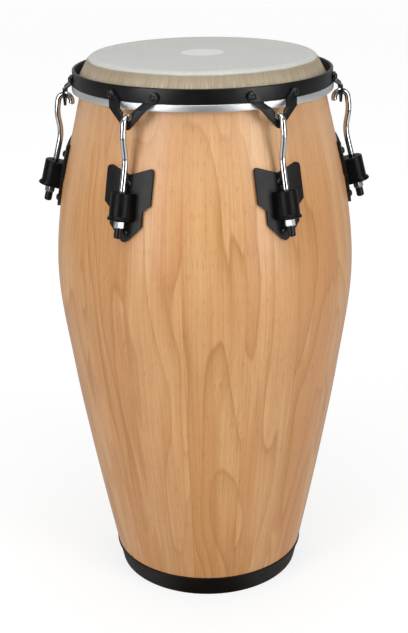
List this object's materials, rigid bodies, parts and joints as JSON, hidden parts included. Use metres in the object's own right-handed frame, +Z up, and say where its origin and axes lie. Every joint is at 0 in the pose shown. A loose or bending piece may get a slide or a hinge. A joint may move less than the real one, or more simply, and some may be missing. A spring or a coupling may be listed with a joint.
{
  "type": "conga drum",
  "caption": "Free-standing staved wooden conga drum, open at the foot, with a hooked-rod tuned skin head under a flat rim.",
  "frame": {"origin": "on the floor, at the centre of the foot ring", "axes": "+Z up along the drum's axis, +X through the first lug; the picture looks along +Y"},
  "size_m": [0.4612, 0.4166, 0.766],
  "materials": {
    "wood": "satin lacquer",
    "rubber": "moulded",
    "skin": "matte skin",
    "aluminium": "satin",
    "powder_coat": "powder coat",
    "chrome": "polished",
    "zinc": "zinc plate",
    "black_bolt": "black oxide",
    "moulded_cap": "moulded"
  },
  "bodies": {
    "drum": {"shell": "wood", "foot_ring": "rubber", "side_plate_1": "powder_coat", "lug_housing_1": "powder_coat", "plate_bolt_upper_1": "black_bolt", "plate_bolt_lower_1": "black_bolt", "backing_plate_1": "zinc", "side_plate_2": "powder_coat", "lug_housing_2": "powder_coat", "plate_bolt_upper_2": "black_bolt", "plate_bolt_lower_2": "black_bolt", "backing_plate_2": "zinc", "side_plate_3": "powder_coat", "lug_housing_3": "powder_coat", "plate_bolt_upper_3": "black_bolt", "plate_bolt_lower_3": "black_bolt", "backing_plate_3": "zinc", "side_plate_4": "powder_coat", "lug_housing_4": "powder_coat", "plate_bolt_upper_4": "black_bolt", "plate_bolt_lower_4": "black_bolt", "backing_plate_4": "zinc", "side_plate_5": "powder_coat", "lug_housing_5": "powder_coat", "plate_bolt_upper_5": "black_bolt", "plate_bolt_lower_5": "black_bolt", "backing_plate_5": "zinc", "side_plate_6": "powder_coat", "lug_housing_6": "powder_coat", "plate_bolt_upper_6": "black_bolt", "plate_bolt_lower_6": "black_bolt", "backing_plate_6": "zinc"},
    "head": {"drumhead": "skin", "flesh_hoop": "aluminium", "rim": "powder_coat", "rim_strap_1": "powder_coat", "rim_strap_2": "powder_coat", "rim_strap_3": "powder_coat", "rim_strap_4": "powder_coat", "rim_strap_5": "powder_coat", "rim_strap_6": "powder_coat"},
    "hook_1": {"tuning_hook_1": "chrome"},
    "nut_1": {"tuning_nut_1": "chrome", "nut_cap_1": "moulded_cap"},
    "hook_2": {"tuning_hook_2": "chrome"},
    "nut_2": {"tuning_nut_2": "chrome", "nut_cap_2": "moulded_cap"},
    "hook_3": {"tuning_hook_3": "chrome"},
    "nut_3": {"tuning_nut_3": "chrome", "nut_cap_3": "moulded_cap"},
    "hook_4": {"tuning_hook_4": "chrome"},
    "nut_4": {"tuning_nut_4": "chrome", "nut_cap_4": "moulded_cap"},
    "hook_5": {"tuning_hook_5": "chrome"},
    "nut_5": {"tuning_nut_5": "chrome", "nut_cap_5": "moulded_cap"},
    "hook_6": {"tuning_hook_6": "chrome"},
    "nut_6": {"tuning_nut_6": "chrome", "nut_cap_6": "moulded_cap"}
  },
  "joints": [
    {"name": "head_lift", "type": "slide", "parent": "drum", "child": "head", "axis": [0, 0, 1], "range_m": [0, 0.006]},
    {"name": "hook_slide_1", "type": "slide", "parent": "drum", "child": "hook_1", "axis": [-0.2495, 0, 0.9684], "range_m": [0, 0.0067]},
    {"name": "hook_slide_2", "type": "slide", "parent": "drum", "child": "hook_2", "axis": [-0.1247, -0.216, 0.9684], "range_m": [0, 0.0067]},
    {"name": "hook_slide_3", "type": "slide", "parent": "drum", "child": "hook_3", "axis": [0.1247, -0.216, 0.9684], "range_m": [0, 0.0067]},
    {"name": "hook_slide_4", "type": "slide", "parent": "drum", "child": "hook_4", "axis": [0.2495, 0, 0.9684], "range_m": [0, 0.0067]},
    {"name": "hook_slide_5", "type": "slide", "parent": "drum", "child": "hook_5", "axis": [0.1247, 0.216, 0.9684], "range_m": [0, 0.0067]},
    {"name": "hook_slide_6", "type": "slide", "parent": "drum", "child": "hook_6", "axis": [-0.1247, 0.216, 0.9684], "range_m": [0, 0.0067]},
    {"name": "nut_turn_1", "type": "hinge", "parent": "drum", "child": "nut_1", "pos_m": [0.21411, 0, 0.5863], "axis": [0.2495, 0, -0.9684], "range_deg": [0, 1902]},
    {"name": "nut_turn_2", "type": "hinge", "parent": "drum", "child": "nut_2", "pos_m": [0.10705, 0.18542, 0.5863], "axis": [0.1247, 0.216, -0.9684], "range_deg": [0, 1902]},
    {"name": "nut_turn_3", "type": "hinge", "parent": "drum", "child": "nut_3", "pos_m": [-0.10705, 0.18542, 0.5863], "axis": [-0.1247, 0.216, -0.9684], "range_deg": [0, 1902]},
    {"name": "nut_turn_4", "type": "hinge", "parent": "drum", "child": "nut_4", "pos_m": [-0.21411, 0, 0.5863], "axis": [-0.2495, 0, -0.9684], "range_deg": [0, 1902]},
    {"name": "nut_turn_5", "type": "hinge", "parent": "drum", "child": "nut_5", "pos_m": [-0.10705, -0.18542, 0.5863], "axis": [-0.1247, -0.216, -0.9684], "range_deg": [0, 1902]},
    {"name": "nut_turn_6", "type": "hinge", "parent": "drum", "child": "nut_6", "pos_m": [0.10705, -0.18542, 0.5863], "axis": [0.1247, -0.216, -0.9684], "range_deg": [0, 1902]}
  ],
  "couplings": [
    {"joint": "hook_slide_1", "follows": "head_lift", "ratio": 1.1},
    {"joint": "hook_slide_2", "follows": "head_lift", "ratio": 1.1},
    {"joint": "hook_slide_3", "follows": "head_lift", "ratio": 1.1},
    {"joint": "hook_slide_4", "follows": "head_lift", "ratio": 1.1},
    {"joint": "hook_slide_5", "follows": "head_lift", "ratio": 1.1},
    {"joint": "hook_slide_6", "follows": "head_lift", "ratio": 1.1},
    {"joint": "nut_turn_1", "follows": "head_lift", "rad_per_m": 5529.2},
    {"joint": "nut_turn_2", "follows": "head_lift", "rad_per_m": 5529.2},
    {"joint": "nut_turn_3", "follows": "head_lift", "rad_per_m": 5529.2},
    {"joint": "nut_turn_4", "follows": "head_lift", "rad_per_m": 5529.2},
    {"joint": "nut_turn_5", "follows": "head_lift", "rad_per_m": 5529.2},
    {"joint": "nut_turn_6", "follows": "head_lift", "rad_per_m": 5529.2}
  ]
}
